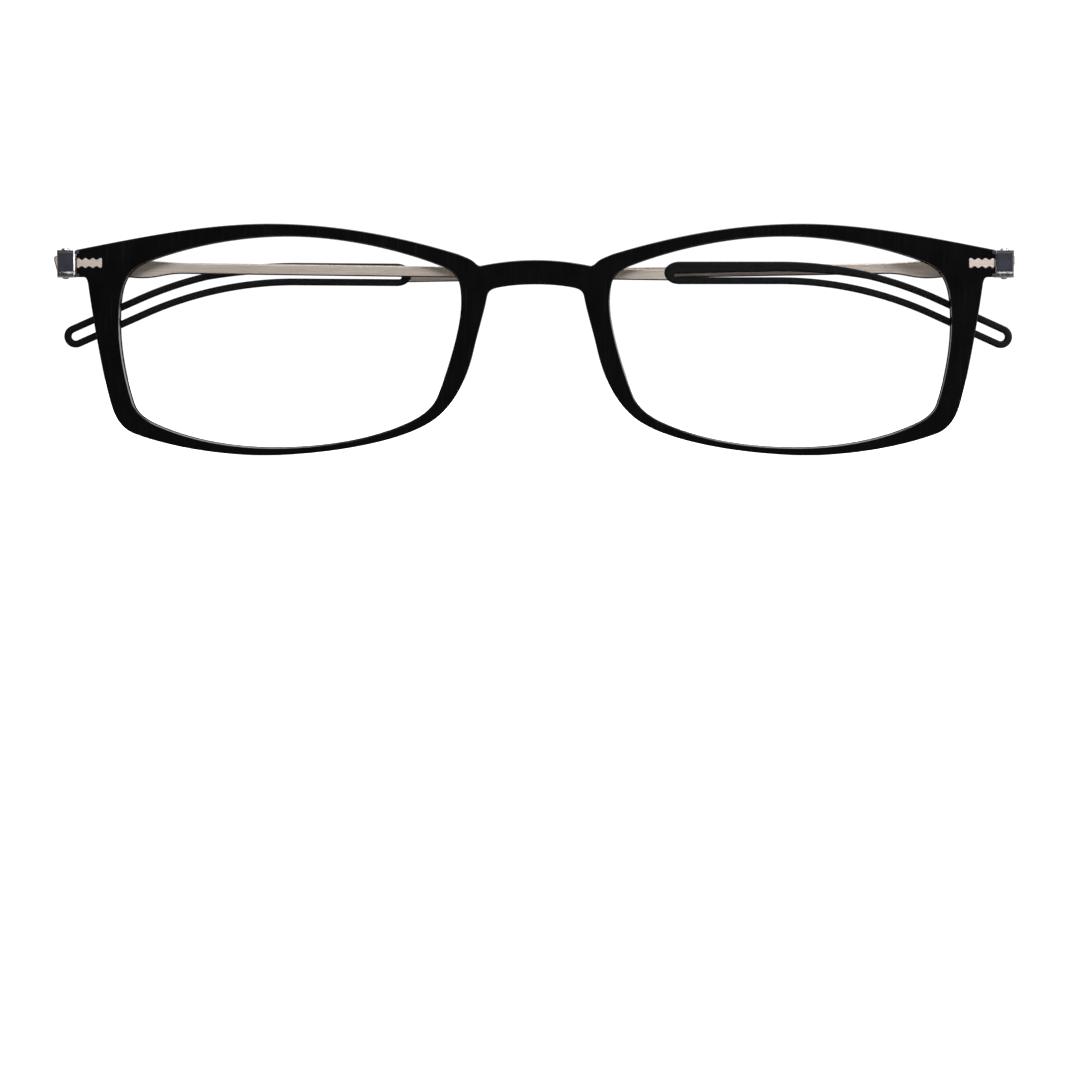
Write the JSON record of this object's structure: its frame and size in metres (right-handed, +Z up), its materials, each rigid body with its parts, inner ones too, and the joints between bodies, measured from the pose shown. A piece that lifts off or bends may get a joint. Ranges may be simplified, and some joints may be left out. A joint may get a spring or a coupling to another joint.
{
  "type": "folding reading glasses",
  "caption": "Slim reading glasses with a flat black plastic front, clear lenses and thin brushed steel temples that fold flat behind it and end in black rubber loops.",
  "frame": {"origin": "middle of the bounding box in X and Y, at the lowest point of the rims", "axes": "+Z is up as worn, the front of the glasses faces -Y, and the wearer's left is at +X"},
  "size_m": [0.1404, 0.0056, 0.0336],
  "materials": {
    "front_plastic": "satin black moulded plastic",
    "lens_plastic": "clear polished lens plastic",
    "hinge_steel": "bright steel",
    "plate_dark": "dark slate satin coating",
    "screw_steel": "bright steel",
    "washer_nylon": "natural nylon",
    "temple_steel": "fine brushed, warm tint",
    "tip_rubber": "matte black",
    "core_steel": "bare spring steel"
  },
  "bodies": {
    "front": {"front_frame": "front_plastic", "right_lens": "lens_plastic", "left_lens": "lens_plastic", "right_hinge_bracket": "hinge_steel", "left_hinge_bracket": "hinge_steel", "right_hinge_plate": "plate_dark", "left_hinge_plate": "plate_dark", "right_hinge_screw": "screw_steel", "left_hinge_screw": "screw_steel", "right_upper_washer": "washer_nylon", "right_lower_washer": "washer_nylon", "left_upper_washer": "washer_nylon", "left_lower_washer": "washer_nylon"},
    "right_temple": {"right_knuckle": "hinge_steel", "right_temple_strip": "temple_steel", "right_temple_tip": "tip_rubber", "right_tip_core": "core_steel"},
    "left_temple": {"left_knuckle": "hinge_steel", "left_temple_strip": "temple_steel", "left_temple_tip": "tip_rubber", "left_tip_core": "core_steel"}
  },
  "joints": [
    {"name": "right_temple_hinge", "type": "hinge", "parent": "front", "child": "right_temple", "pos_m": [-0.0683, -0.00105, 0.02778], "axis": [0, 0, 1], "range_deg": [0, 92]},
    {"name": "left_temple_hinge", "type": "hinge", "parent": "front", "child": "left_temple", "pos_m": [0.0683, 0.0004, 0.02778], "axis": [0, 0, -1], "range_deg": [0, 92]}
  ]
}
